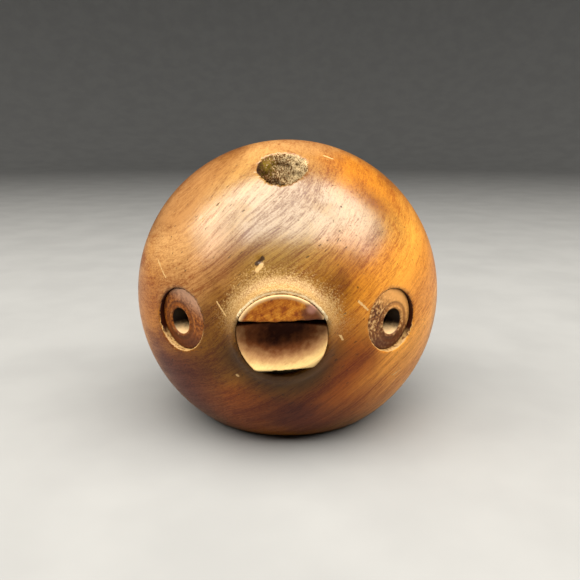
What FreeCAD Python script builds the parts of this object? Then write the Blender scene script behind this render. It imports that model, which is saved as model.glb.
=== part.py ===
import FreeCAD, Part
import math
import os

from FreeCAD import Vector

# Duct ocarina: a turned wooden ball with a bird's face.  Millimetres, +Z up.
# Origin: centre of the flat base.  The face looks towards -Y; the player's right is +X.
# Blown at the beak, the air runs back along the windway, crosses the foot of the sound hole
# and strikes the lip, the sharp edge between the sound hole and the chamber's domed roof.
# The two pupils are the finger holes.

# Ball
BALL_RADIUS = 32.0
CENTRE_HEIGHT = 25.6             # ball centre above the flat base
SIDE_OFFSET = -0.9               # the beak and the sound hole sit this far off the middle
GLUE_GAP = 0.03                  # radial glue line round every plugged-in piece

# Chamber, bored up through the base, and the disc that closes it
CHAMBER_RADIUS = 15.0
DOME_DROP = 9.95                 # centre of the chamber's round end, below the ball centre
BASE_PLUG_RADIUS = 15.75
BASE_PLUG_THICKNESS = 6.0

# Sound hole, drilled down from the crown
SOUND_HOLE_RADIUS = 5.0
SOUND_HOLE_FRONT = -16.5         # its axis meets the ball here, measured along Y
SOUND_HOLE_TILT = 6.0            # degrees, top leaning to the face
SOUND_HOLE_FLOOR_DROP = 4.5      # its foot, below the ball centre

# Collar left standing round the beak, and the beak's socket
COLLAR_RADIUS = 8.4
COLLAR_FRONT = 33.1              # rim, ahead of the ball centre
COLLAR_FILLET = 2.0
SOCKET_HALF_WIDTH = 8.0          # the socket and the beak in it are slightly oval
SOCKET_HALF_HEIGHT = 7.4
SOCKET_END = 17.0                # bottom of the socket, ahead of the ball centre

# Beak: two halves that stand apart by the height of the windway
BEAK_FRONT = 33.5
WINDWAY_FLOOR = 1.4              # above the ball centre
WINDWAY_ROOF = 3.0
SCOOP_RADIUS = 7.4               # the lower half is gouged hollow across its front
SCOOP_FRONT = 36.5               # middle of the gouge, ahead of the ball centre
SCOOP_RISE = 0.7                 # and above it
LIP_TRIM_DROP = 6.3              # flat under the lower lip, below the ball centre
LIP_TRIM_DEPTH = 2.4
LIP_TRIM_TILT = 5.0              # degrees, rising to the player's right

# Eyes: dowels let into shallow sockets, with a countersunk finger hole each
EYE_AZIMUTH = 37.6               # degrees from the middle of the face
EYE_SKEW = -0.5                  # degrees, both eyes turned to the left with the beak
EYE_ELEVATION = 1.1
EYE_RADIUS = 5.75
EYE_DOWEL_LENGTH = 6.0
EYE_RECESS = 0.7                 # depth of the dowel's face below the socket's rim, at the middle
EYE_FACE_TURN = 4.0              # degrees, deeper on the outer side
EYE_FACE_DIP = 3.0               # degrees, deeper at the bottom
PUPIL_OFFSET = 0.9               # towards the side of the head
PUPIL_DROP = 0.65                # below the middle of the eye
FINGER_HOLE_RADIUS = 1.35
FINGER_HOLE_DEPTH = 22.0
PUPIL_RADIUS = 2.55
PUPIL_DEPTH = 2.8

CLEAR = 20.0                     # overrun of a cutting solid past what it cuts
SINK_OVERRUN = 1.0               # the same for the countersink, above the dowel's face

CENTRE = Vector(0, 0, CENTRE_HEIGHT)
BEAK_CENTRE = Vector(SIDE_OFFSET, 0, CENTRE_HEIGHT)
UP = Vector(0, 0, 1)
BACK = Vector(0, 1, 0)
RIGHT = Vector(1, 0, 0)


def half_space(point, outward):
    """A large block whose one face passes through point and which fills the outward side."""
    size = 8 * BALL_RADIUS
    block = Part.makeBox(size, size, size, Vector(-size / 2, -size / 2, 0))
    block.Placement = FreeCAD.Placement(point, FreeCAD.Rotation(UP, outward)) * block.Placement
    return block


def sound_hole():
    tilt = math.radians(SOUND_HOLE_TILT)
    outward = Vector(0, -math.sin(tilt), math.cos(tilt))
    rise = math.sqrt(BALL_RADIUS ** 2 - SOUND_HOLE_FRONT ** 2 - SIDE_OFFSET ** 2)
    mouth = CENTRE + Vector(SIDE_OFFSET, SOUND_HOLE_FRONT, rise)
    length = (rise + SOUND_HOLE_FLOOR_DROP) / math.cos(tilt)
    foot = mouth - outward * length
    return Part.makeCylinder(SOUND_HOLE_RADIUS, length + CLEAR, foot, outward)


def beak_bar(gap, front, end):
    """An oval bar on the beak's axis between two distances ahead of the ball centre."""
    middle = Vector(0, 0, 0)
    oval = Part.Ellipse(middle, SOCKET_HALF_WIDTH - gap, SOCKET_HALF_HEIGHT - gap).toShape()
    oval.rotate(middle, RIGHT, 90)
    oval.translate(BEAK_CENTRE - BACK * front)
    return Part.Face(Part.Wire(oval)).extrude(BACK * (front - end))


def chamber():
    dome_centre = CENTRE - UP * DOME_DROP
    bore = Part.makeCylinder(CHAMBER_RADIUS, dome_centre.z)
    dome = Part.makeSphere(CHAMBER_RADIUS, dome_centre)
    return bore.fuse(dome)


def collar():
    """Turned ring round the socket, blended into the ball by a concave fillet."""
    fillet_out = COLLAR_RADIUS + COLLAR_FILLET
    fillet_front = math.sqrt((BALL_RADIUS + COLLAR_FILLET) ** 2 - fillet_out ** 2)
    to_ball = BALL_RADIUS / (BALL_RADIUS + COLLAR_FILLET)
    fillet_centre = Vector(fillet_out, -fillet_front, 0)
    start = Vector(COLLAR_RADIUS, -fillet_front, 0)
    end = fillet_centre * to_ball
    inward = ((start - fillet_centre) + (end - fillet_centre)).normalize()
    arc = Part.Arc(start, fillet_centre + inward * COLLAR_FILLET, end).toShape()
    outline = [
        Vector(end.x, -SOCKET_END, 0),
        Vector(0, -SOCKET_END, 0),
        Vector(0, -COLLAR_FRONT, 0),
        Vector(COLLAR_RADIUS, -COLLAR_FRONT, 0),
        start,
    ]
    edges = [Part.makeLine(end, outline[0])]
    edges += [Part.makeLine(a, b) for a, b in zip(outline, outline[1:])]
    edges.append(arc)
    profile = Part.Face(Part.Wire(Part.__sortEdges__(edges)))
    ring = profile.revolve(Vector(0, 0, 0), BACK, 360)
    ring.translate(BEAK_CENTRE)
    return ring


def eye_axis(side, turn=0.0, dip=0.0):
    """Outward unit vector of the eye on one side: -1 left, +1 right."""
    azimuth = math.radians(side * (EYE_AZIMUTH + turn) + EYE_SKEW)
    elevation = math.radians(EYE_ELEVATION - dip)
    level = math.cos(elevation)
    return Vector(math.sin(azimuth) * level, -math.cos(azimuth) * level, math.sin(elevation))


def eye_dowel(side, radius, outer_end):
    axis = eye_axis(side)
    inner_end = eye_face_distance() - EYE_DOWEL_LENGTH
    return Part.makeCylinder(radius, outer_end - inner_end, CENTRE + axis * inner_end, axis)


def eye_face_distance():
    return math.sqrt(BALL_RADIUS ** 2 - EYE_RADIUS ** 2) - EYE_RECESS


def finger_hole(side):
    """Through hole in the dowel and the wall behind it, countersunk at the dowel's face."""
    axis = eye_axis(side)
    outer_way = Vector(-axis.y, axis.x, 0).normalize() * side
    face = CENTRE + axis * eye_face_distance() + outer_way * PUPIL_OFFSET - UP * PUPIL_DROP
    bore = Part.makeCylinder(FINGER_HOLE_RADIUS, FINGER_HOLE_DEPTH, face, axis * -1)
    widening = SINK_OVERRUN * (PUPIL_RADIUS - FINGER_HOLE_RADIUS) / PUPIL_DEPTH
    top = face + axis * SINK_OVERRUN
    height = PUPIL_DEPTH + SINK_OVERRUN
    sink = Part.makeCone(PUPIL_RADIUS + widening, FINGER_HOLE_RADIUS, height, top, axis * -1)
    return bore.fuse(sink)


def make_body():
    ball = Part.makeSphere(BALL_RADIUS, CENTRE).cut(half_space(Vector(0, 0, 0), UP * -1))
    solid = ball.fuse(collar()).removeSplitter()
    cutters = [
        chamber(),
        Part.makeCylinder(BASE_PLUG_RADIUS, BASE_PLUG_THICKNESS),
        sound_hole(),
        beak_bar(0, BEAK_FRONT + CLEAR, SOCKET_END),
    ]
    for side in (-1, 1):
        cutters.append(eye_dowel(side, EYE_RADIUS, BALL_RADIUS + CLEAR))
        cutters.append(finger_hole(side))
    for cutter in cutters:
        solid = solid.cut(cutter)
    return solid


def make_base_plug():
    return Part.makeCylinder(BASE_PLUG_RADIUS - GLUE_GAP, BASE_PLUG_THICKNESS)


def make_beak_upper():
    half = beak_bar(GLUE_GAP, BEAK_FRONT, SOCKET_END)
    half = half.cut(half_space(BEAK_CENTRE + UP * WINDWAY_ROOF, UP * -1))
    return half.cut(sound_hole())


def make_beak_lower():
    half = beak_bar(GLUE_GAP, BEAK_FRONT, SOCKET_END)
    half = half.cut(half_space(BEAK_CENTRE + UP * WINDWAY_FLOOR, UP))
    gouge_end = BEAK_CENTRE - BACK * SCOOP_FRONT + UP * SCOOP_RISE - RIGHT * CLEAR
    half = half.cut(Part.makeCylinder(SCOOP_RADIUS, 2 * CLEAR, gouge_end, RIGHT))
    tilt = math.radians(LIP_TRIM_TILT)
    below = Vector(math.sin(tilt), 0, -math.cos(tilt))
    under_lip = half_space(BEAK_CENTRE - UP * LIP_TRIM_DROP, below)
    ahead = half_space(BEAK_CENTRE - BACK * (BEAK_FRONT - LIP_TRIM_DEPTH), BACK * -1)
    half = half.cut(under_lip.common(ahead))
    return half.cut(sound_hole())


def make_eye(side):
    dowel = eye_dowel(side, EYE_RADIUS - GLUE_GAP, BALL_RADIUS)
    face = CENTRE + eye_axis(side) * eye_face_distance()
    dowel = dowel.cut(half_space(face, eye_axis(side, EYE_FACE_TURN, EYE_FACE_DIP)))
    return dowel.cut(finger_hole(side))


def main():
    os.makedirs("parts", exist_ok=True)
    nodes = {
        "body": make_body(),
        "base_plug": make_base_plug(),
        "beak_upper": make_beak_upper(),
        "beak_lower": make_beak_lower(),
        "left_eye": make_eye(-1),
        "right_eye": make_eye(1),
    }
    for name, shape in nodes.items():
        shape.exportStep(f"parts/{name}.step")
        print(f"{name}: {len(shape.Solids)} solid, {shape.Volume:.0f} mm3, valid {shape.isValid()}")


main()
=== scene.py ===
import itertools
import math

import bpy
import numpy as np
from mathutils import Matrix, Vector


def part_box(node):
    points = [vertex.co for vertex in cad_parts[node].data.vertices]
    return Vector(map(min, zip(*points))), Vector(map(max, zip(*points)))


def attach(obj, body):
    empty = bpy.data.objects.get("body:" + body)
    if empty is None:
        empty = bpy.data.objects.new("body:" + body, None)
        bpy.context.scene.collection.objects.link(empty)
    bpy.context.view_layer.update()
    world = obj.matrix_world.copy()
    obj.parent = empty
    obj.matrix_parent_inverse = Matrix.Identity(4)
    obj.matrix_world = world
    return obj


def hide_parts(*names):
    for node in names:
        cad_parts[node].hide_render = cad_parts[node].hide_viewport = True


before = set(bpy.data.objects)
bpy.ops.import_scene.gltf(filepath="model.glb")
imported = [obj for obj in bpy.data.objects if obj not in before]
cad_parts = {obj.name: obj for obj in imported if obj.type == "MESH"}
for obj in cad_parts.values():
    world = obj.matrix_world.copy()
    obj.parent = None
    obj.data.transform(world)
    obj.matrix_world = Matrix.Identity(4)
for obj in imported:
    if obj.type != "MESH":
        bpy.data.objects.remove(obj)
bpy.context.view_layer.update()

# Lengths are in millimetres in the frame of the part, and MM turns them into metres.
MM = 0.001

# The ball stands on its flat base at z = 0 and faces -Y.
BALL_RADIUS = 32.0
CENTRE = np.array([0.0, 0.0, 25.6])
BEAK_X = -0.9                    # the beak and the sound hole sit off the middle
BASE_EDGE = 0.9                  # rounding where the ball meets its flat base

COLLAR_RADIUS = 8.4
COLLAR_FRONT = 33.1
COLLAR_FILLET = 2.0
COLLAR_ROOT = 20.0               # the collar starts inside the ball, this far ahead of its centre
COLLAR_SETBACK = 0.2             # its rim lies this far behind COLLAR_FRONT at the top
COLLAR_WEAR = 1.6                # and this much further behind at the sides and below
COLLAR_WEAR_LOW = 0.5            # heights above the ball centre between which the wear fades out
COLLAR_WEAR_HIGH = 5.0
COLLAR_EDGE = 0.35
SOCKET_HALF_WIDTH = 8.0          # the socket and the beak in it are slightly oval
SOCKET_HALF_HEIGHT = 7.4
BEAK_STRETCH = SOCKET_HALF_WIDTH / SOCKET_HALF_HEIGHT
SOCKET_END = 17.0

BEAK_FRONT = 33.5
WINDWAY_FLOOR = 1.4              # above the ball centre
WINDWAY_ROOF = 3.0
SCOOP_RADIUS = 7.4
SCOOP_FRONT = 36.5
SCOOP_RISE = 0.7
SCOOP_ROUNDING = 0.65            # how much the gouge closes towards the sides: 0 straight, 1 a ball
LIP_TRIM_DROP = 6.0
LIP_TRIM_DEPTH = 2.4
LIP_TRIM_TILT = 6.5
BEAK_CROWNING = 0.004            # the beak's face falls back by this times the squared radius

CHAMBER_RADIUS = 15.0
DOME_DROP = 9.95
PLUG_RADIUS = 15.75
PLUG_THICKNESS = 6.0

HOLE_RADIUS = 5.0
HOLE_FRONT = -16.5
HOLE_TILT = 6.0
HOLE_FLOOR_DROP = 4.5
TEAR_LOW = 6.0                   # heights above the ball centre between which the wall turns torn
TEAR_HIGH = 16.0

EYE_AZIMUTH = 37.6
EYE_SKEW = -0.5                  # both eyes turned to the left with the beak
EYE_ELEVATION = 1.1
EYE_RADIUS = 5.75
EYE_LENGTH = 6.0
EYE_RECESS = 0.7
EYE_FACE_TURN = 4.0
EYE_FACE_DIP = 3.0
PUPIL_OFFSET = 0.9               # towards the side of the head
PUPIL_DROP = 0.65
PUPIL_RADIUS = 2.55
PUPIL_DEPTH = 2.8
FINGER_HOLE_RADIUS = 1.35
FINGER_HOLE_DEPTH = 22.0
FINGER_HOLE_OVERRUN = 8.0        # it cuts this far out past the eye's face
GLUE_GAP = 0.03
BEYOND = 60.0                    # a cut that leaves the ball runs on this far


# ---------------------------------------------------------------- shapes as distance fields

def dot(points, direction):
    return points @ np.asarray(direction, dtype=points.dtype)


def length(*parts):
    return np.sqrt(sum(part * part for part in parts))


def smoothstep(value, low, high):
    t = np.clip((value - low) / (high - low), 0.0, 1.0)
    return t * t * (3.0 - 2.0 * t)


def both(a, b, radius=0.0):
    """Intersection of two distance fields, its convex edge rounded."""
    if radius == 0.0:
        return np.maximum(a, b)
    corner = length(np.maximum(radius + a, 0.0), np.maximum(radius + b, 0.0))
    return np.minimum(-radius, np.maximum(a, b)) + corner


def either(a, b, radius=0.0):
    """Union of two distance fields, its concave edge filleted."""
    if radius == 0.0:
        return np.minimum(a, b)
    corner = length(np.maximum(radius - a, 0.0), np.maximum(radius - b, 0.0))
    return np.maximum(radius, np.minimum(a, b)) - corner


def without(a, b, radius=0.0):
    return both(a, -b, radius)


def cylinder(points, base, axis, radius, start=-1e3, end=1e3, edge=0.0):
    """Round bar along axis from base + start to base + end."""
    away = points - np.asarray(base, dtype=points.dtype)
    along = dot(away, axis)
    side = np.sqrt(np.maximum((away * away).sum(axis=-1) - along * along, 0.0)) - radius
    return both(side, np.maximum(start - along, along - end), edge)


def value_noise(points, cell, seed):
    """Smooth lattice noise from 0 to 1 with features about one cell wide."""
    table = np.random.default_rng(seed).random((32, 32, 32)).astype(np.float32)
    scaled = points / np.asarray(cell, dtype=points.dtype)
    base = np.floor(scaled).astype(np.int32)
    part = scaled - base
    part = part * part * (3.0 - 2.0 * part)
    total = np.zeros(points.shape[:-1], dtype=points.dtype)
    for corner in itertools.product((0, 1), repeat=3):
        weight = 1.0
        for axis, step in enumerate(corner):
            weight = weight * (part[..., axis] if step else 1.0 - part[..., axis])
        slot = (base + np.array(corner, dtype=np.int32)) & 31
        total += weight * table[slot[..., 0], slot[..., 1], slot[..., 2]]
    return total


def beak_rho(points):
    return length(points[..., 0] - BEAK_X, points[..., 2] - CENTRE[2])


def beak_oval(points, gap=0.0):
    """Distance from the side of the oval socket, shrunk by gap."""
    across = points[..., 0] - BEAK_X
    rise = points[..., 2] - CENTRE[2]
    return length(across, rise * BEAK_STRETCH) - SOCKET_HALF_WIDTH + gap


def eye_axis(side, turn=0.0, dip=0.0):
    azimuth = math.radians(side * (EYE_AZIMUTH + turn) + EYE_SKEW)
    elevation = math.radians(EYE_ELEVATION - dip)
    level = math.cos(elevation)
    return np.array([math.sin(azimuth) * level, -math.cos(azimuth) * level, math.sin(elevation)])


EYE_FACE = math.sqrt(BALL_RADIUS ** 2 - EYE_RADIUS ** 2) - EYE_RECESS


def eye_outer_way(side):
    axis = eye_axis(side)
    way = np.array([-axis[1], axis[0], 0.0]) * side
    return way / np.linalg.norm(way)


def pupil_centre(side):
    drop = np.array([0.0, 0.0, PUPIL_DROP])
    return CENTRE + eye_axis(side) * EYE_FACE + eye_outer_way(side) * PUPIL_OFFSET - drop


def finger_hole(points, side):
    start, end = -FINGER_HOLE_OVERRUN, FINGER_HOLE_DEPTH
    return cylinder(points, pupil_centre(side), -eye_axis(side), FINGER_HOLE_RADIUS, start, end)


def hole_mouth():
    rise = math.sqrt(BALL_RADIUS ** 2 - HOLE_FRONT ** 2 - BEAK_X ** 2)
    return CENTRE + np.array([BEAK_X, HOLE_FRONT, rise])


def hole_axis():
    tilt = math.radians(HOLE_TILT)
    return np.array([0.0, -math.sin(tilt), math.cos(tilt)])


def sound_hole(points, rough=True):
    axis = hole_axis()
    foot = (hole_mouth()[2] - CENTRE[2] + HOLE_FLOOR_DROP) / math.cos(math.radians(HOLE_TILT))
    bore = cylinder(points, hole_mouth(), axis, HOLE_RADIUS, -foot, BEYOND)
    if not rough:
        return bore
    near = smoothstep(points[..., 2], CENTRE[2] + TEAR_LOW, CENTRE[2] + TEAR_HIGH)
    fibres = value_noise(points, (0.55, 0.55, 0.8), 11) - 0.5
    crumbs = value_noise(points, (0.26, 0.26, 0.35), 12) - 0.5
    lumps = value_noise(points, (1.9, 1.9, 2.4), 13) - 0.55
    depth = BALL_RADIUS - length(*(np.moveaxis(points - CENTRE.astype(points.dtype), -1, 0)))
    rim = 1.0 - smoothstep(depth, 0.0, 1.3)
    behind = smoothstep(points[..., 1], HOLE_FRONT - 3.0, HOLE_FRONT + 3.5)
    tear = 0.62 * fibres + 0.3 * crumbs + 0.5 * lumps * (0.35 + 0.65 * behind)
    chips = rim * (0.15 + 0.85 * behind) * 0.5 * value_noise(points, (0.7, 0.7, 0.7), 14) ** 2
    return bore + near * (0.75 - 0.50 * behind - tear * (1.0 - 0.55 * rim) - chips)


def body_shape(points):
    away = points - CENTRE.astype(points.dtype)
    ball = length(away[..., 0], away[..., 1], away[..., 2]) - BALL_RADIUS
    ball = both(ball, -points[..., 2], BASE_EDGE)
    rho = beak_rho(points)
    front = -points[..., 1]
    below = 1.0 - smoothstep(points[..., 2] - CENTRE[2], COLLAR_WEAR_LOW, COLLAR_WEAR_HIGH)
    rim = front - COLLAR_FRONT + COLLAR_SETBACK + COLLAR_WEAR * below
    collar = both(rho - COLLAR_RADIUS, np.maximum(rim, COLLAR_ROOT - front), COLLAR_EDGE)
    solid = either(ball, collar, COLLAR_FILLET)
    socket = both(beak_oval(points), SOCKET_END - front)
    solid = without(solid, socket, 0.05)
    for side in (-1, 1):
        well = cylinder(points, CENTRE, eye_axis(side), EYE_RADIUS, EYE_FACE - EYE_LENGTH, BEYOND)
        solid = without(solid, well, 0.1)
        solid = without(solid, finger_hole(points, side))
    solid = without(solid, sound_hole(points), 0.12)
    dome = CENTRE - np.array([0.0, 0.0, DOME_DROP])
    flat = length(away[..., 0], away[..., 1])
    bore = both(flat - CHAMBER_RADIUS, points[..., 2] - dome[2])
    round_end = length(away[..., 0], away[..., 1], points[..., 2] - dome[2]) - CHAMBER_RADIUS
    rebate = both(flat - PLUG_RADIUS, points[..., 2] - PLUG_THICKNESS)
    solid = without(solid, np.minimum(np.minimum(bore, round_end), rebate), 0.12)
    return solid + dents(points)


# Small knocks in the ball's surface: direction from its centre, radius, depth.
DENTS = (
    ((-0.145, -0.91, 0.385), 0.45, 0.38),
    ((-0.15, -0.93, 0.355), 0.40, 0.16),
    ((-0.135, -0.795, 0.595), 0.30, 0.22),
    ((-0.48, -0.66, 0.58), 0.25, 0.14),
    ((-0.36, -0.86, -0.36), 0.22, 0.14),
    ((0.66, -0.62, -0.42), 0.25, 0.14),
)


def dents(points):
    total = 0.0
    for direction, radius, depth in DENTS:
        place = CENTRE + BALL_RADIUS * np.asarray(direction) / np.linalg.norm(direction)
        away = points - place.astype(points.dtype)
        near = (away * away).sum(axis=-1) / radius ** 2
        total = total + depth * np.exp(-near)
    return total


def beak_bar(points, edge):
    """The oval bar both halves of the beak are cut from, its front slightly crowned."""
    rho = beak_rho(points)
    front = -points[..., 1]
    crown = front - BEAK_FRONT + BEAK_CROWNING * rho * rho
    return both(beak_oval(points, GLUE_GAP), np.maximum(crown, SOCKET_END - front), edge)


def upper_lip(points):
    rise = points[..., 2] - CENTRE[2]
    across = points[..., 0] - BEAK_X
    sway = 0.02 * across - 0.22 * np.exp(-((across + 1.5) / 4.5) ** 2) + 0.05 * np.sin(across * 2.3 + 1.0)
    half = both(beak_bar(points, 0.12), WINDWAY_ROOF + sway - rise, 0.2)
    return without(half, sound_hole(points, rough=False))


def lower_lip(points):
    rise = points[..., 2] - CENTRE[2]
    across = points[..., 0] - BEAK_X
    front = -points[..., 1]
    half = both(beak_bar(points, 0.1), rise - WINDWAY_FLOOR)
    ripple = 0.05 * np.sin(front * 2.1 + across * 0.35) + 0.04 * np.sin(across * 1.1)
    tilt = math.radians(LIP_TRIM_TILT)
    lean = rise - across * math.tan(tilt)
    from_middle = length(front - SCOOP_FRONT, lean - SCOOP_RISE, across * SCOOP_ROUNDING)
    scoop = from_middle - SCOOP_RADIUS + ripple
    half = without(half, scoop, 0.22)
    under = -(math.sin(tilt) * across - math.cos(tilt) * (rise + LIP_TRIM_DROP))
    ahead = BEAK_FRONT - LIP_TRIM_DEPTH - front
    half = without(half, both(under, ahead), 0.15)
    return without(half, sound_hole(points, rough=False))


def eye_shape(points, side):
    axis = eye_axis(side)
    face_axis = eye_axis(side, EYE_FACE_TURN, EYE_FACE_DIP)
    face = dot(points - (CENTRE + axis * EYE_FACE).astype(points.dtype), face_axis)
    dowel = cylinder(points, CENTRE, axis, EYE_RADIUS - GLUE_GAP, EYE_FACE - EYE_LENGTH, BEYOND)
    away = points - pupil_centre(side).astype(points.dtype)
    along = dot(away, axis)
    radius = np.sqrt(np.maximum((away * away).sum(axis=-1) - along * along, 0.0))
    ring = np.exp(-((radius - 3.55) / 0.22) ** 2) * 0.12
    lip = np.exp(-((radius - PUPIL_RADIUS - 0.25) / 0.25) ** 2) * 0.12
    solid = both(dowel, face + ring - lip, 0.16)
    slope = (PUPIL_RADIUS - FINGER_HOLE_RADIUS) / PUPIL_DEPTH
    cone = (radius - PUPIL_RADIUS - slope * along) / math.hypot(1.0, slope)
    sink = both(cone, -PUPIL_DEPTH - along)
    solid = without(solid, sink, 0.1)
    return without(solid, finger_hole(points, side))


def base_plug(points):
    flat = length(points[..., 0], points[..., 1])
    slab = np.maximum(-points[..., 2], points[..., 2] - PLUG_THICKNESS)
    disc = both(flat - PLUG_RADIUS + GLUE_GAP, slab, 0.2)
    turned = 0.05 * (1.0 + np.cos(flat * 4.0)) * (1.0 - smoothstep(points[..., 2], 0.3, 0.8))
    return disc + turned


# ---------------------------------------------------------------- meshes from the fields

CELL_CORNERS = np.array(list(itertools.product((0, 1), repeat=3)))
CELL_EDGES = [
    (a, b) for a in range(8) for b in range(a + 1, 8)
    if np.abs(CELL_CORNERS[a] - CELL_CORNERS[b]).sum() == 1
]


def lattice(low, high, step, focuses):
    """Grid of points, drawn together round each focus so that fine work gets fine faces."""
    axes = [np.arange(a, b + step, step, dtype=np.float32) for a, b in zip(low, high)]
    grid = np.stack(np.meshgrid(*axes, indexing="ij"), axis=-1)
    drawn = grid.copy()
    for centre, reach, pull in focuses:
        away = grid - np.asarray(centre, dtype=np.float32)
        near = pull * np.exp(-(away * away).sum(axis=-1) / (2.0 * reach ** 2))
        drawn -= away * near[..., None]
    return drawn


def net(grid, field):
    """Quads along the zero level of a field: one point in each cell it crosses."""
    inside = field < 0.0
    wide, deep, tall = (size - 1 for size in inside.shape)
    count = sum(
        inside[x:wide + x, y:deep + y, z:tall + z].astype(np.int8)
        for x, y, z in CELL_CORNERS
    )
    cells = np.argwhere((count > 0) & (count < 8))
    spots = cells[:, None, :] + CELL_CORNERS[None, :, :]
    values = field[spots[..., 0], spots[..., 1], spots[..., 2]]
    places = grid[spots[..., 0], spots[..., 1], spots[..., 2]]
    total = np.zeros((len(cells), 3))
    hits = np.zeros(len(cells))
    for a, b in CELL_EDGES:
        crossed = (values[:, a] < 0.0) != (values[:, b] < 0.0)
        share = np.where(crossed, values[:, a] / (values[:, a] - values[:, b] + 1e-20), 0.0)
        point = places[:, a] + share[:, None] * (places[:, b] - places[:, a])
        total += np.where(crossed[:, None], point, 0.0)
        hits += crossed
    index = np.full(count.shape, -1, dtype=np.int64)
    index[cells[:, 0], cells[:, 1], cells[:, 2]] = np.arange(len(cells))
    quads = []
    for axis in range(3):
        one, two = (axis + 1) % 3, (axis + 2) % 3
        near = [slice(1, -1)] * 3
        far = [slice(1, -1)] * 3
        near[axis], far[axis] = slice(0, -1), slice(1, None)
        low, high = inside[tuple(near)], inside[tuple(far)]
        edges = np.argwhere(low != high)
        leaving = low[edges[:, 0], edges[:, 1], edges[:, 2]]
        edges[:, one] += 1
        edges[:, two] += 1
        ring = []
        for back_one, back_two in ((1, 1), (0, 1), (0, 0), (1, 0)):
            cell = edges.copy()
            cell[:, one] -= back_one
            cell[:, two] -= back_two
            ring.append(index[cell[:, 0], cell[:, 1], cell[:, 2]])
        quad = np.stack(ring, axis=1)
        quad[~leaving] = quad[~leaving][:, ::-1]
        quads.append(quad)
    return total / hits[:, None], np.concatenate(quads)


def settle(points, shape, rounds=2, reach=0.25):
    """Moves each point onto the zero level along the field's gradient."""
    nudge = 0.01
    for _ in range(rounds):
        value = shape(points)
        slopes = [(shape(points + step) - shape(points - step)) / (2 * nudge) for step in np.eye(3) * nudge]
        gradient = np.stack(slopes, axis=-1)
        scale = value / np.maximum((gradient * gradient).sum(axis=-1), 0.2)
        points = points - np.clip(gradient * scale[:, None], -reach, reach)
    return points


def relax(points, quads):
    """Moves each point halfway to the middle of its neighbours."""
    total = np.zeros_like(points)
    count = np.zeros(len(points))
    for a, b in ((0, 1), (1, 2), (2, 3), (3, 0)):
        for one, two in ((quads[:, a], quads[:, b]), (quads[:, b], quads[:, a])):
            for axis in range(3):
                total[:, axis] += np.bincount(one, points[two, axis], len(points))
            count += np.bincount(one, minlength=len(points))
    return 0.5 * points + 0.5 * total / count[:, None]


def build(name, shape, low, high, step, focuses=(), relaxing=2):
    """A closed smooth mesh of a distance field."""
    step = step * 1.0
    grid = lattice(low, high, step, focuses)
    points, quads = net(grid, shape(grid))
    points = settle(points, shape)
    for _ in range(relaxing):
        points = settle(relax(points, quads), shape, rounds=1)
    mesh = bpy.data.meshes.new(name)
    mesh.from_pydata((points * MM).tolist(), [], quads.tolist())
    mesh.polygons.foreach_set("use_smooth", np.ones(len(quads), dtype=bool))
    mesh.update()
    piece = bpy.data.objects.new(name, mesh)
    bpy.context.collection.objects.link(piece)
    return piece


def node_space(node, margin=0.8):
    low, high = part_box(node)
    return np.array(low) / MM - margin, np.array(high) / MM + margin


# ---------------------------------------------------------------- materials

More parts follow.
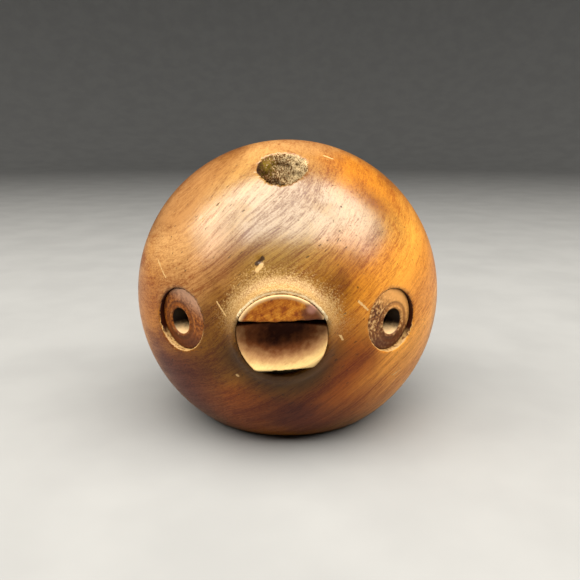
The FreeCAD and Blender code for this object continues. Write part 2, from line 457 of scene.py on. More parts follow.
class Nodes:
    """Short names for the nodes of one material."""

    def __init__(self, name):
        self.material = bpy.data.materials.new(name)
        self.material.use_nodes = True
        self.tree = self.material.node_tree
        self.shader = self.tree.nodes["Principled BSDF"]

    def add(self, kind, inputs=(), out=0, **settings):
        node = self.tree.nodes.new(kind)
        for key, value in settings.items():
            setattr(node, key, value)
        for key, value in dict(inputs).items():
            self.feed(node.inputs[key], value)
        return node.outputs[out]

    def feed(self, socket, value):
        if isinstance(value, bpy.types.NodeSocket):
            self.tree.links.new(value, socket)
        else:
            socket.default_value = value

    def math(self, operation, *values):
        return self.add("ShaderNodeMath", enumerate(values), operation=operation)

    def product(self, *values):
        total = values[0]
        for value in values[1:]:
            total = self.math("MULTIPLY", total, value)
        return total

    def total(self, *values):
        total = values[0]
        for value in values[1:]:
            total = self.math("ADD", total, value)
        return total

    def vector(self, operation, *values, out=0):
        return self.add("ShaderNodeVectorMath", enumerate(values), out=out, operation=operation)

    def dot(self, a, b):
        return self.vector("DOT_PRODUCT", a, tuple(b), out="Value")

    def distance(self, a, b):
        return self.vector("DISTANCE", a, tuple(b), out="Value")

    def combine(self, x, y, z=0.0):
        return self.add("ShaderNodeCombineXYZ", {"X": x, "Y": y, "Z": z})

    def length(self, x, y):
        return self.vector("LENGTH", self.combine(x, y), out="Value")

    def split(self, vector):
        node = self.tree.nodes.new("ShaderNodeSeparateXYZ")
        self.feed(node.inputs[0], vector)
        return node.outputs

    def noise(self, vector, scale=1.0, detail=2.0, roughness=0.5):
        return self.add("ShaderNodeTexNoise", {
            "Vector": vector, "Scale": scale, "Detail": detail, "Roughness": roughness,
        }, out="Fac")

    def span(self, value, low, high, to_low=0.0, to_high=1.0, smooth=True):
        """Maps low..high to to_low..to_high, and holds the ends."""
        if low > high:
            low, high, to_low, to_high = high, low, to_high, to_low
        return self.add("ShaderNodeMapRange", {
            "Value": value, "From Min": low, "From Max": high, "To Min": to_low, "To Max": to_high,
        }, interpolation_type="SMOOTHSTEP" if smooth else "LINEAR")

    def wave(self, value, reach):
        """Noise made to swing by about reach either way."""
        return self.span(value, 0.2, 0.8, -reach, reach, smooth=False)

    def mix(self, factor, a, b, blend="MIX"):
        node = self.tree.nodes.new("ShaderNodeMix")
        node.data_type, node.blend_type = "RGBA", blend
        self.feed(node.inputs["Factor"], factor)
        self.feed(node.inputs[6], a)
        self.feed(node.inputs[7], b)
        return node.outputs[2]

    def ramp(self, factor, stops):
        node = self.tree.nodes.new("ShaderNodeValToRGB")
        ramp = node.color_ramp
        while len(ramp.elements) < len(stops):
            ramp.elements.new(0.5)
        for element, (place, colour) in zip(ramp.elements, stops):
            element.position = place
            element.color = colour
        self.feed(node.inputs[0], factor)
        return node.outputs[0]

    def place(self):
        """Position in millimetres from the ball's centre."""
        coords = self.add("ShaderNodeTexCoord", out="Object")
        scaled = self.vector("SCALE", coords)
        scaled.node.inputs["Scale"].default_value = 1.0 / MM
        return self.vector("SUBTRACT", scaled, tuple(CENTRE))


def rgb(red, green, blue):
    """Linear colour from ordinary 0 to 255 screen values."""
    parts = [value / 255.0 for value in (red, green, blue)]
    linear = [part / 12.92 if part <= 0.04045 else ((part + 0.055) / 1.055) ** 2.4 for part in parts]
    return tuple(linear) + (1.0,)


def unit(*parts):
    vector = np.array(parts, dtype=float)
    return vector / np.linalg.norm(vector)


# Growth layers cross the ball as near-flat sheets. The fibres run inside them, rising to the right.
LAYER = unit(-0.60, -0.20, 0.77)
FIBRE = np.array([0.79, 0.15, 0.60])
FIBRE = unit(*(FIBRE - LAYER * float(FIBRE @ LAYER)))
ACROSS = np.cross(LAYER, FIBRE)


PORE = rgb(30, 14, 6)

# What a streak multiplies the wood's colour by, from the darkest streaks to the palest.
STREAK_SHADES = (
    (0.14, (0.46, 0.29, 0.16, 1.0)),
    (0.50, (0.76, 0.71, 0.65, 1.0)),
    (0.86, (1.0, 1.0, 1.0, 1.0)),
)


class Wood:
    """The streaks, fibres and pores of one piece of wood, as fields over its material."""

    def __init__(self, nodes, place):
        wander = nodes.wave(nodes.noise(place, 0.045, 1.0), 1.5)
        ripple = nodes.wave(nodes.noise(place, 0.30, 1.0), 0.06)
        self.layer = nodes.total(nodes.dot(place, LAYER), wander, ripple)
        self.fibre = nodes.dot(place, FIBRE)
        self.across = nodes.dot(place, ACROSS)
        self.nodes = nodes
        broad = self.streaks(5.5, 60.0, 24.0, 2.0)
        bands = self.streaks(1.5, 36.0, 9.0, 3.0)
        lines = self.streaks(0.42, 26.0, 3.2, 2.0)
        threads = self.streaks(0.16, 4.0, 0.6, 1.0)
        specks = nodes.noise(place, 3.4, 2.0, 0.7)
        self.tone = nodes.total(
            nodes.span(broad, 0.30, 0.70, -0.22, 0.22, smooth=False),
            nodes.span(bands, 0.30, 0.70, -0.17, 0.17, smooth=False),
            nodes.span(lines, 0.30, 0.70, -0.18, 0.18, smooth=False),
            nodes.span(threads, 0.25, 0.75, -0.26, 0.26, smooth=False),
            nodes.span(specks, 0.30, 0.70, -0.16, 0.16, smooth=False),
            0.5,
        )
        pores = self.streaks(0.34, 1.5, 0.34, 0.0)
        self.pore = nodes.span(pores, 0.76, 0.84)
        relief = nodes.total(nodes.product(lines, 0.6), nodes.product(threads, 0.9))
        self.height = nodes.math("SUBTRACT", relief, self.pore)

    def streaks(self, thickness, run, width, detail):
        """Noise drawn out along the fibres."""
        nodes = self.nodes
        stretched = nodes.combine(
            nodes.math("DIVIDE", self.layer, thickness),
            nodes.math("DIVIDE", self.fibre, run),
            nodes.math("DIVIDE", self.across, width),
        )
        return nodes.noise(stretched, 1.0, detail, 0.55)

    def stain(self, colour, strength=1.0):
        """Darkens a colour along the streaks and in the pores."""
        nodes = self.nodes
        shade = nodes.ramp(self.tone, STREAK_SHADES)
        colour = nodes.mix(strength, colour, shade, "MULTIPLY")
        return nodes.mix(nodes.product(self.pore, 0.65 * strength), colour, PORE)


WOOD_COLOUR = rgb(148, 96, 24)    # where no zone reaches

# Broad dark and light growth bands through the whole ball, from its right foot to its upper left.
GROWTH_BANDS = tuple((level, (red, red ** 1.35, red ** 1.7, 1.0)) for level, red in (
    (0.05, 1.0), (0.18, 0.8), (0.31, 1.0), (0.37, 0.76), (0.45, 0.82), (0.50, 1.0), (0.58, 1.0),
    (0.625, 0.80), (0.69, 1.0), (0.78, 0.84), (0.84, 0.78), (0.90, 0.95), (0.935, 1.0), (0.965, 0.70),
))

# Tones of the stained wood, which the zones below also use for painted light and shade
PALE_TAN = rgb(204, 154, 96)
GOLD = rgb(245, 168, 65)
HONEY = rgb(200, 128, 32)
DRAB = rgb(155, 120, 52)
RUSSET = rgb(168, 88, 6)
CHESTNUT = rgb(128, 82, 8)
UMBER = rgb(108, 44, 4)

# Zones of lighter and darker wood, partly the wood's own tone and partly painted light: painted highlight
# in the pale crown and brow, painted light on the golden right cheek, painted shade in the darker zones
# lower down. Columns: direction from the ball's centre, reach, tone, strength.
ZONES = (
    ((0.05, -0.35, 0.94), 0.40, PALE_TAN, 1.0),     # crown
    ((-0.55, -0.45, 0.70), 0.35, PALE_TAN, 1.0),
    ((0.00, -0.85, 0.52), 0.60, DRAB, 1.0),         # brow
    ((0.60, -0.60, 0.53), 0.35, DRAB, 1.0),
    ((0.50, -0.40, 0.77), 0.30, HONEY, 1.0),
    ((0.85, -0.45, 0.27), 0.45, GOLD, 1.0),         # right cheek
    ((-0.75, -0.55, 0.35), 0.35, PALE_TAN, 1.0),    # left cheek
    ((-0.50, -0.82, 0.30), 0.25, PALE_TAN, 1.0),
    ((0.03, -0.95, 0.30), 0.25, DRAB, 1.0),         # above the beak
    ((0.45, -0.85, 0.25), 0.30, HONEY, 1.0),
    ((-0.85, -0.50, -0.10), 0.40, HONEY, 1.0),      # left of the left eye
    ((-0.45, -0.88, -0.12), 0.30, CHESTNUT, 1.0),
    ((-0.60, -0.65, -0.45), 0.35, UMBER, 1.0),
    ((-0.19, -0.81, -0.55), 0.28, RUSSET, 1.0),     # chin
    ((0.10, -0.85, -0.52), 0.30, UMBER, 1.0),
    ((0.30, -0.93, -0.25), 0.25, RUSSET, 1.0),
    ((0.50, -0.78, -0.38), 0.30, RUSSET, 1.0),
    ((0.80, -0.50, -0.35), 0.40, GOLD, 1.0),        # right of the right eye
    ((0.00, -0.99, -0.15), 0.25, CHESTNUT, 1.0),
    ((0.70, -0.70, 0.10), 0.30, GOLD, 1.0),
    ((0.49, -0.57, 0.66), 0.13, UMBER, 0.7),        # dark streak beside a golden one
    ((-0.30, -0.90, 0.32), 0.16, CHESTNUT, 0.4),    # dark wood above and left of the beak
    ((-0.36, -0.93, 0.06), 0.15, CHESTNUT, 0.7),
    ((-0.62, -0.76, 0.20), 0.15, PALE_TAN, 0.7),    # pale above the left eye
    ((0.27, -0.93, 0.26), 0.13, CHESTNUT, 0.7),     # dark above and right of the beak
)

# Where handling has polished the wood most: direction from the ball's centre, reach, strength.
POLISHED = (
    ((-0.14, -0.64, 0.755), 0.20, 0.6),
    ((0.01, -0.785, 0.62), 0.22, 0.6),
    ((0.36, -0.70, 0.62), 0.22, 0.6),
    ((-0.41, -0.69, 0.60), 0.18, 0.3),
    ((0.10, -0.68, 0.73), 0.18, 0.4),
)

DUST = rgb(206, 168, 112)
SPLIT = rgb(40, 18, 6)

# Scratches, specks and chips: both ends as directions from the ball's centre, half width in mm, colour.
SCRATCHES = (
    ((-0.16, -0.91, 0.37), (-0.13, -0.91, 0.40), 0.34, SPLIT),
    ((-0.16, -0.93, 0.34), (-0.135, -0.92, 0.365), 0.32, DUST),
    ((-0.38, -0.91, 0.16), (-0.30, -0.95, 0.05), 0.11, DUST),
    ((-0.76, -0.57, 0.32), (-0.70, -0.68, 0.24), 0.12, DUST),
    ((0.39, -0.91, 0.16), (0.44, -0.89, 0.11), 0.17, DUST),
    ((0.24, -0.97, 0.04), (0.26, -0.96, 0.00), 0.11, DUST),
    ((0.26, -0.96, 0.00), (0.29, -0.96, -0.02), 0.12, DUST),
    ((0.29, -0.96, -0.02), (0.30, -0.95, -0.04), 0.18, DUST),
    ((-0.28, -0.93, -0.26), (-0.275, -0.93, -0.262), 0.22, DUST),
    ((0.63, -0.70, -0.35), (0.67, -0.66, -0.33), 0.12, DUST),
    ((0.22, -0.35, 0.91), (0.27, -0.36, 0.89), 0.20, DUST),
)


# Colours of worn, cut and broken wood, and of painted light and shade on the beak, sockets and eyes
HALO = ((0.42, rgb(150, 114, 62)), (0.60, rgb(196, 162, 110)))
UNDER_BEAK_SHADE = rgb(48, 34, 14)
COLLAR_RIM_HIGHLIGHT = rgb(242, 222, 180)
SOCKET_WALL_SHADE = rgb(52, 18, 8)
SOCKET_WALL_LIT = ((0.40, rgb(120, 82, 44)), (0.52, rgb(190, 152, 98)))
SOCKET_EDGE_HIGHLIGHT = rgb(196, 156, 98)
TORN_WOOD = (
    (0.40, rgb(36, 14, 4)), (0.51, rgb(88, 50, 22)), (0.60, rgb(134, 96, 54)), (0.72, rgb(232, 206, 158)),
)
MOSS = rgb(150, 130, 34)
UPPER_LIP = ((0.36, rgb(150, 76, 18)), (0.50, rgb(190, 116, 30)), (0.64, rgb(214, 146, 52)))
UPPER_LIP_RIM_HIGHLIGHT = rgb(214, 184, 136)
BRUISE = rgb(84, 42, 26)
BRUISE_GLINT = rgb(186, 132, 116)
SLOT_ROOF_SHADE = rgb(30, 13, 6)
LOWER_LIP_SHADE_TO_LIGHT = (
    (0.05, rgb(52, 18, 4)), (0.28, rgb(124, 70, 34)), (0.50, rgb(184, 138, 92)), (0.80, rgb(220, 188, 126)),
)
LOWER_LIP_RIM_HIGHLIGHT = rgb(190, 148, 96)
LOWER_LIP_UNDERSIDE_SHADE = rgb(40, 30, 12)
EYE_FOOT_SHADE = rgb(62, 22, 8)
EYE_GROOVE_SHADE = rgb(98, 52, 20)
EYE_RING = rgb(206, 160, 104)
PUPIL_SHADE = rgb(20, 6, 2)
PUPIL_LIT_WALL = rgb(226, 190, 140)
PLUG_WOOD = rgb(146, 94, 46)
PLUG_RING = rgb(50, 26, 12)


def scratched(nodes, place, colour):
    fray = nodes.wave(nodes.noise(place, 2.2, 2.0), 0.12)
    for start, end, width, tint in SCRATCHES:
        start, end = unit(*start) * BALL_RADIUS, unit(*end) * BALL_RADIUS
        run = end - start
        along = nodes.dot(nodes.vector("SUBTRACT", place, tuple(start)), run / (run @ run))
        along = nodes.span(along, 0.0, 1.0, smooth=False)
        spot = nodes.combine(*[nodes.total(nodes.product(along, float(step)), float(base))
                               for step, base in zip(run, start)])
        gap = nodes.total(nodes.vector("DISTANCE", place, spot, out="Value"), fray)
        colour = nodes.mix(nodes.span(gap, width * 1.5, width * 0.7, 0.0, 0.9), colour, tint)
    return colour


def finish_wood(nodes, colour, height, roughness, coat=0.0, relief=0.012):
    shader = nodes.shader
    nodes.feed(shader.inputs["Base Color"], colour)
    nodes.feed(shader.inputs["Roughness"], roughness)
    nodes.feed(shader.inputs["Coat Weight"], coat)
    shader.inputs["Coat Roughness"].default_value = 0.25
    shader.inputs["Coat IOR"].default_value = 1.75
    shader.inputs["IOR"].default_value = 1.3
    normal = nodes.add("ShaderNodeBump", {"Strength": 1.0, "Distance": relief * MM, "Height": height})
    nodes.feed(shader.inputs["Normal"], normal)
    return nodes.material


def eye_frame(nodes, place, side):
    """Places measured from the middle of an eye's face: out of the ball, to the side and up."""
    away = nodes.vector("SUBTRACT", place, tuple(eye_axis(side) * EYE_FACE))
    way = eye_outer_way(side)
    upward = np.cross(eye_axis(side), way) * side
    return nodes.dot(away, eye_axis(side)), nodes.dot(away, way), nodes.dot(away, upward)


def body_material():
    nodes = Nodes("turned_wood")
    place = nodes.place()
    wood = Wood(nodes, place)
    x, _, z = nodes.split(place)
    heading = nodes.vector("NORMALIZE", place)
    ragged = nodes.wave(nodes.noise(place, 0.14, 3.0, 0.55), 0.12)
    sideways = nodes.math("SUBTRACT", wood.layer, nodes.dot(place, LAYER))
    drift = nodes.total(nodes.product(sideways, 0.02), ragged)
    colour = WOOD_COLOUR
    # the zones paint light and shade as well as tone: painted highlight on crown and brow, painted light on
    # the right cheek, painted shade lower down
    for direction, reach, tint, strength in ZONES:
        gap = nodes.total(nodes.distance(heading, unit(*direction)), drift)
        colour = nodes.mix(nodes.span(gap, reach * 1.5, reach * 0.2, 0.0, strength), colour, tint)
    rings = nodes.ramp(nodes.span(wood.layer, -BALL_RADIUS, BALL_RADIUS, smooth=False), GROWTH_BANDS)
    colour = wood.stain(nodes.mix(1.0, colour, rings, "MULTIPLY"))
    colour = worn_shaded_and_lit_round_beak(nodes, place, colour)
    colour = scratched(nodes, place, colour)
    colour = eye_sockets(nodes, place, colour)
    colour, raw = torn_hole(nodes, place, colour)
    sheen = nodes.span(wood.tone, 0.2, 0.8, 0.46, 0.36)
    rough = nodes.total(sheen, nodes.product(raw, 0.5))
    rubbed = 0.0
    for direction, reach, strength in POLISHED:
        gap = nodes.total(nodes.distance(heading, unit(*direction)), drift)
        rubbed = nodes.total(rubbed, nodes.span(gap, reach * 1.5, reach * 0.2, 0.0, strength))
    polish = nodes.product(
        nodes.span(rubbed, 0.0, 0.6, 0.4, 1.0, smooth=False),
        nodes.span(z, -4.0, 14.0, 0.02, 1.0),
        nodes.span(wood.tone, 0.25, 0.60, 0.5, 1.0),
        nodes.span(wood.pore, 0.0, 1.0, 1.0, 0.1),
        nodes.span(nodes.length(nodes.total(x, -BEAK_X), z), 9.5, 13.0, 0.15, 1.0),
        nodes.span(raw, 0.0, 1.0, 1.0, 0.0),
    )
    return finish_wood(nodes, colour, wood.height, rough, polish)


def worn_shaded_and_lit_round_beak(nodes, place, colour):
    """Pale rubbed wood above the beak, painted shade below it and a painted highlight on the collar's rim.
    """
    x, y, z = nodes.split(place)
    across = nodes.math("SUBTRACT", x, BEAK_X)
    rho = nodes.length(across, z)
    lift = nodes.math("DIVIDE", z, rho)
    ahead = nodes.span(y, -24.0, -27.0)
    speckle = nodes.wave(nodes.noise(place, 3.6, 2.0, 0.7), 3.0)
    edge = nodes.total(rho, speckle, nodes.wave(nodes.noise(place, 0.25, 1.0), 0.8))
    pale = nodes.product(nodes.span(edge, 12.0, 9.3), nodes.span(lift, -0.25, 0.6), ahead, 0.85)
    pale_mottle = nodes.ramp(nodes.noise(place, 4.5, 2.0, 0.7), HALO)
    colour = nodes.mix(pale, colour, pale_mottle)
    # painted shade below the beak, where its shadow falls
    under_shade = nodes.product(nodes.span(rho, 14.0, 9.5), nodes.span(lift, 0.05, -0.45), ahead, 0.6)
    colour = nodes.mix(under_shade, colour, UNDER_BEAK_SHADE)
    oval = nodes.length(across, nodes.product(z, BEAK_STRETCH))
    fleck = nodes.wave(nodes.noise(place, 1.6, 2.0), 0.12)
    # painted highlight along the upper part of the collar's rim
    rim = nodes.product(nodes.span(nodes.total(oval, fleck), 8.7, 8.4), nodes.span(y, -32.2, -32.4))
    rim = nodes.product(rim, nodes.span(lift, 0.0, 0.5, 0.0, 0.9))
    return nodes.mix(rim, colour, COLLAR_RIM_HIGHLIGHT)


def eye_sockets(nodes, place, colour):
    """The cut walls of the eye sockets: painted shade above and outside, painted light below, and a painted
    highlight on the lower edge.
    """
    for side in (-1, 1):
        out, across, rise = eye_frame(nodes, place, side)
        radial = nodes.length(across, rise)
        fleck = nodes.wave(nodes.noise(place, 1.3, 2.0), 0.10)
        near = nodes.product(nodes.span(radial, 5.3, 5.5), nodes.span(out, -8.0, -7.0))
        wall = nodes.product(near, nodes.span(radial, EYE_RADIUS + 0.08, EYE_RADIUS + 0.02))
        # painted shade on the upper and outer wall, painted light on the lower wall
        low = nodes.span(rise, -2.4, -4.2)
        pale_mottle = nodes.ramp(nodes.noise(place, 1.8, 2.0, 0.6), SOCKET_WALL_LIT)
        colour = nodes.mix(wall, colour, nodes.mix(low, SOCKET_WALL_SHADE, pale_mottle))
        edge = nodes.total(radial, fleck)
        # painted highlight where the lower edge faces up into the light
        edge_highlight = nodes.product(
            near,
            nodes.span(edge, EYE_RADIUS + 0.24, EYE_RADIUS + 0.12),
            nodes.span(radial, EYE_RADIUS + 0.02, EYE_RADIUS + 0.08),
            nodes.span(rise, 0.2, -2.6, 0.0, 0.85),
        )
        colour = nodes.mix(edge_highlight, colour, SOCKET_EDGE_HIGHLIGHT)
    return colour


def torn_hole(nodes, place, colour):
    """Raw torn wood inside the sound hole, palest at the back and on the right."""
    x, y, z = nodes.split(place)
    out = nodes.vector("LENGTH", place, out="Value")
    grit = nodes.noise(place, 3.2, 3.0, 0.7)
    side = nodes.total(nodes.product(nodes.math("SUBTRACT", x, BEAK_X), 0.030),
                       nodes.product(nodes.math("SUBTRACT", y, HOLE_FRONT), 0.030))
    raw = nodes.ramp(nodes.total(grit, side), TORN_WOOD)
    patch = nodes.total(nodes.distance(place, (-3.4, -13.4, 27.2)), nodes.wave(grit, 3.0))
    moss = nodes.product(nodes.span(patch, 1.9, 0.6), 0.6)
    raw = nodes.mix(moss, raw, MOSS)
    from_axis = nodes.length(nodes.math("SUBTRACT", x, BEAK_X), nodes.math("SUBTRACT", y, HOLE_FRONT))
    inside = nodes.product(
        nodes.span(out, 31.95, 31.75), nodes.span(from_axis, 8.6, 7.6), nodes.span(z, 6.0, 9.0),
    )
    return nodes.mix(inside, colour, raw), inside


def upper_lip_material():
    nodes = Nodes("upper_lip_wood")
    place = nodes.place()
    wood = Wood(nodes, place)
    x, y, z = nodes.split(place)
    across = nodes.math("SUBTRACT", x, BEAK_X)
    blotch = nodes.noise(place, 0.9, 3.0, 0.65)
    colour = wood.stain(nodes.ramp(blotch, UPPER_LIP), 0.7)
    oval = nodes.length(across, nodes.product(z, BEAK_STRETCH))
    # painted highlight along the lip's rounded rim
    colour = nodes.mix(nodes.span(oval, 7.1, 7.9, 0.0, 0.85), colour, UPPER_LIP_RIM_HIGHLIGHT)
    chip = nodes.distance(place, (BEAK_X + 5.2, -BEAK_FRONT, 3.9))
    bruise = nodes.total(chip, nodes.wave(nodes.noise(place, 1.2), 0.7))
    colour = nodes.mix(nodes.span(bruise, 2.7, 1.3, 0.0, 0.85), colour, BRUISE)
    glint = nodes.distance(place, (BEAK_X + 5.0, -BEAK_FRONT, 5.0))
    colour = nodes.mix(nodes.span(glint, 1.2, 0.3, 0.0, 0.6), colour, BRUISE_GLINT)
    # painted shade on the roof of the slot behind the lip's face
    behind = nodes.span(y, -BEAK_FRONT + 0.1, -BEAK_FRONT + 0.7)
    roof_shade = nodes.product(behind, nodes.span(oval, 7.75, 7.45))
    colour = nodes.mix(roof_shade, colour, SLOT_ROOF_SHADE)
    return finish_wood(nodes, colour, wood.height, nodes.span(wood.tone, 0.3, 0.7, 0.5, 0.42))


def lower_lip_material():
    nodes = Nodes("lower_lip_wood")
    place = nodes.place()
    wood = Wood(nodes, place)
    x, y, z = nodes.split(place)
    # painted shade deep in the mouth, turning to painted light at the lip's front edge
    front = nodes.total(nodes.product(y, -1.0), nodes.wave(nodes.noise(place, 0.8), 0.5))
    depth = nodes.span(front, BEAK_FRONT - 4.5, BEAK_FRONT, smooth=False)
    colour = wood.stain(nodes.ramp(depth, LOWER_LIP_SHADE_TO_LIGHT), 0.3)
    across = nodes.math("SUBTRACT", x, BEAK_X)
    oval = nodes.length(across, nodes.product(z, BEAK_STRETCH))
    # painted highlight on the rim near the lip's front
    rim = nodes.product(nodes.span(oval, 7.65, 7.9), nodes.span(y, -32.0, -32.8), 0.8)
    colour = nodes.mix(rim, colour, LOWER_LIP_RIM_HIGHLIGHT)
    # painted shade on the downward-facing underside of the lip, below the trim
    under = nodes.span(z, -LIP_TRIM_DROP - 0.2, -LIP_TRIM_DROP + 0.2)
    colour = nodes.mix(under, LOWER_LIP_UNDERSIDE_SHADE, colour)
    return finish_wood(nodes, colour, wood.height, nodes.span(wood.tone, 0.3, 0.7, 0.9, 0.8))


def eye_material(side, word, tones, top_light, top_light_low, top_light_strength, lean, ring_strength):
    """End grain of an eye's dowel, with painted light on its upper face, painted shade at its foot and in a
    groove round the pupil, and a painted lit lower wall below painted shade in its pupil.
    """
    nodes = Nodes(word + "_eye_wood")
    place = nodes.place()
    out, across, rise = eye_frame(nodes, place, side)
    beside = nodes.math("SUBTRACT", across, PUPIL_OFFSET)
    from_pupil = nodes.length(beside, nodes.total(rise, PUPIL_DROP))
    grit = nodes.noise(place, 1.7, 4.0, 0.7)
    rings = nodes.math("SINE", nodes.product(from_pupil, 8.0))
    contrast = nodes.span(rise, -3.5, -0.5, 0.35, 1.0)
    even = nodes.total(0.5, nodes.product(nodes.total(grit, -0.5), contrast))
    colour = nodes.ramp(nodes.total(even, nodes.product(rings, 0.025)), (
        (0.36, tones[0]), (0.50, tones[1]), (0.64, tones[2]),
    ))
    # painted light on the upper face, then painted shade at its foot
    tilted = nodes.total(nodes.product(rise, 0.8), nodes.product(across, lean), nodes.wave(grit, 0.8))
    colour = nodes.mix(nodes.product(nodes.span(tilted, top_light_low, 4.5), top_light_strength), colour, top_light)
    colour = nodes.mix(nodes.product(nodes.span(rise, -1.5, -4.0), 0.75), colour, EYE_FOOT_SHADE)
    # painted shade in the shallow groove round the pupil
    groove_shade = nodes.span(nodes.math("ABSOLUTE", nodes.total(from_pupil, -3.45)), 0.55, 0.15, 0.0, 0.6)
    colour = nodes.mix(groove_shade, colour, EYE_GROOVE_SHADE)
    ring = nodes.product(nodes.span(nodes.math("ABSOLUTE", nodes.total(from_pupil, -2.72)), 0.26, 0.10),
                         nodes.wave(nodes.noise(place, 1.1), 0.5))
    colour = nodes.mix(nodes.span(ring, 0.0, 0.35, 0.0, ring_strength), colour, EYE_RING)
    face = nodes.dot(nodes.vector("SUBTRACT", place, tuple(eye_axis(side) * EYE_FACE)),
                     eye_axis(side, EYE_FACE_TURN, EYE_FACE_DIP))
    # painted shade in the pupil's upper part, painted light on its lower wall
    crater = nodes.product(nodes.span(from_pupil, 2.62, 2.5), nodes.span(face, -0.08, -0.25))
    aside = nodes.math("ABSOLUTE", beside)
    pale = nodes.product(nodes.span(nodes.total(rise, nodes.wave(grit, 0.4)), -1.0, -2.7),
                         nodes.span(out, -4.2, -2.4), nodes.span(aside, 2.4, 0.8, 0.3, 1.0))
    colour = nodes.mix(crater, colour, nodes.mix(pale, PUPIL_SHADE, PUPIL_LIT_WALL))
    return finish_wood(nodes, colour, grit, nodes.span(grit, 0.3, 0.7, 0.55, 0.42))


def plug_material():
    nodes = Nodes("base_end_grain")
    place = nodes.place()
    wood = Wood(nodes, place)
    x, y, _ = nodes.split(place)
    rings = nodes.math("SINE", nodes.product(nodes.length(x, y), 7.0))
    colour = wood.stain(PLUG_WOOD)
    colour = nodes.mix(nodes.span(rings, 0.4, 1.0, 0.0, 0.25), colour, PLUG_RING)
    return finish_wood(nodes, colour, wood.height, nodes.span(wood.tone, 0.3, 0.7, 0.6, 0.5))


# ---------------------------------------------------------------- the six pieces

def dress(piece, node, material):
    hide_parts(node)
    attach(piece, "root")
    piece.data.materials.append(material)


LEFT_EYE_TONES = (rgb(80, 36, 8), rgb(132, 70, 18), rgb(168, 102, 36))
RIGHT_EYE_TONES = (rgb(58, 24, 8), rgb(128, 76, 32), rgb(214, 174, 116))

# Side, name, tones, painted light on the upper part: its colour, lower limit, strength and lean, then the
# ring's strength.
EYES = (
    (-1, "left", LEFT_EYE_TONES, rgb(188, 146, 118), 1.6, 0.8, -0.3, 0.35),
    (1, "right", RIGHT_EYE_TONES, rgb(240, 172, 94), -0.5, 0.9, 0.55, 0.9),
)


def make_pieces():
    beak = (BEAK_X, -31.0, CENTRE[2])
    focuses = [(beak, 9.0, 0.55), (hole_mouth() - (0.0, 0.0, 2.0), 6.0, 0.62)]
    focuses += [(CENTRE + eye_axis(side) * 31.0, 6.5, 0.5) for side in (-1, 1)]
    low, high = node_space("body", 2.0)
    body = build("ball", body_shape, low, high, 0.45, focuses)
    dress(body, "body", body_material())

    low, high = node_space("beak_upper")
    upper = build("upper_lip", upper_lip, low, high, 0.2)
    dress(upper, "beak_upper", upper_lip_material())

    low, high = node_space("beak_lower")
    lower = build("lower_lip", lower_lip, low, high, 0.2)
    dress(lower, "beak_lower", lower_lip_material())

    for side, word, *look in EYES:
        low, high = node_space(word + "_eye")
        eye = build(word + "_eye_disc", lambda points, side=side: eye_shape(points, side), low, high, 0.2)
        dress(eye, word + "_eye", eye_material(side, word, *look))

    low, high = node_space("base_plug")
    plug = build("base_disc", base_plug, low, high, 0.35)
    dress(plug, "base_plug", plug_material())


# ---------------------------------------------------------------- stage, light and camera

BOWL_FLAT = 0.9                  # metres: the floor is flat out to here and then turns up all round
BOWL_RADIUS = 0.5
BOWL_WALL = 0.4
BOWL_STEPS = 12
BOWL_SPOKES = 96
FLOOR_TONES = ((0.285, 0.290, 0.295, 1.0), (0.310, 0.315, 0.320, 1.0))

LIGHT_PLACE = (0.0, -0.11, 0.42)
LIGHT_SIZE = (1.5, 0.42)
LIGHT_POWER = 12.5
LIGHT_COLOUR = (1.0, 0.95, 0.86)
AMBIENT_COLOUR = (0.95, 0.97, 1.0, 1.0)
AMBIENT_STRENGTH = 0.05


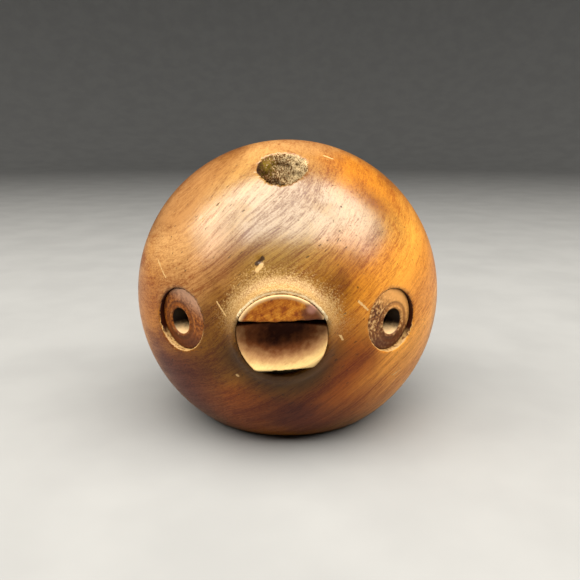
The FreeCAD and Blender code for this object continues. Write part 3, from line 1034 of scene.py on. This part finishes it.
def make_floor():
    nodes = Nodes("studio_paper")
    place = nodes.add("ShaderNodeTexCoord", out="Object")
    mottle = nodes.noise(place, 40.0, 3.0)
    colour = nodes.mix(nodes.span(mottle, 0.3, 0.7), *FLOOR_TONES)
    nodes.feed(nodes.shader.inputs["Base Color"], colour)
    nodes.shader.inputs["Roughness"].default_value = 0.8
    profile = [(0.0, 0.0), (0.3, 0.0), (BOWL_FLAT, 0.0)]
    for turn in np.linspace(0.0, math.pi / 2, BOWL_STEPS + 1)[1:]:
        profile.append((BOWL_FLAT + BOWL_RADIUS * math.sin(turn), BOWL_RADIUS * (1.0 - math.cos(turn))))
    profile.append((BOWL_FLAT + BOWL_RADIUS, BOWL_RADIUS + BOWL_WALL))
    spokes = BOWL_SPOKES
    angles = np.arange(spokes) * 2.0 * math.pi / spokes
    corners = [
        (reach * math.cos(turn), reach * math.sin(turn), rise)
        for reach, rise in profile[1:] for turn in angles
    ]
    faces = [tuple(range(spokes))]
    for ring in range(len(profile) - 2):
        for spoke in range(spokes):
            following = (spoke + 1) % spokes
            near, far = ring * spokes, (ring + 1) * spokes
            faces.append((near + spoke, far + spoke, far + following, near + following))
    mesh = bpy.data.meshes.new("floor")
    mesh.from_pydata(corners, [], faces)
    mesh.polygons.foreach_set("use_smooth", np.ones(len(faces), dtype=bool))
    mesh.materials.append(nodes.material)
    floor = bpy.data.objects.new("floor", mesh)
    bpy.context.collection.objects.link(floor)


def make_softbox():
    data = bpy.data.lights.new("overhead_softbox", "AREA")
    data.shape = "RECTANGLE"
    data.size, data.size_y = LIGHT_SIZE
    data.energy = LIGHT_POWER
    data.color = LIGHT_COLOUR
    light = bpy.data.objects.new("overhead_softbox", data)
    light.location = LIGHT_PLACE
    aim = Vector((0.0, 0.0, CENTRE[2] * MM)) - Vector(LIGHT_PLACE)
    light.rotation_euler = aim.to_track_quat("-Z", "Y").to_euler()
    bpy.context.collection.objects.link(light)


def make_light():
    world = bpy.data.worlds.new("studio")
    world.use_nodes = True
    background = world.node_tree.nodes["Background"]
    background.inputs["Color"].default_value = AMBIENT_COLOUR
    background.inputs["Strength"].default_value = AMBIENT_STRENGTH
    bpy.context.scene.world = world
    make_softbox()


CAMERA_DISTANCE = 4.31 * BALL_RADIUS
CAMERA_ELEVATION = 14.3          # degrees
CAMERA_LENS = 38.9
AIM_OFFSET = (0.5, -0.2)         # the ball sits this far left of and above the middle of the view


def make_camera():
    elevation = math.radians(CAMERA_ELEVATION)
    toward = np.array([0.0, -math.cos(elevation), math.sin(elevation)])
    up = np.array([0.0, math.sin(elevation), math.cos(elevation)])
    aim = CENTRE + np.array([AIM_OFFSET[0], 0.0, 0.0]) + up * AIM_OFFSET[1]
    data = bpy.data.cameras.new("camera")
    data.lens = CAMERA_LENS
    data.clip_start = 0.005
    camera = bpy.data.objects.new("camera", data)
    camera.location = Vector(aim + toward * CAMERA_DISTANCE) * MM
    camera.rotation_euler = Vector(-toward).to_track_quat("-Z", "Y").to_euler()
    bpy.context.collection.objects.link(camera)
    bpy.context.scene.camera = camera


make_camera()
make_floor()
make_light()
make_pieces()
bpy.context.scene.view_settings.view_transform = "Standard"
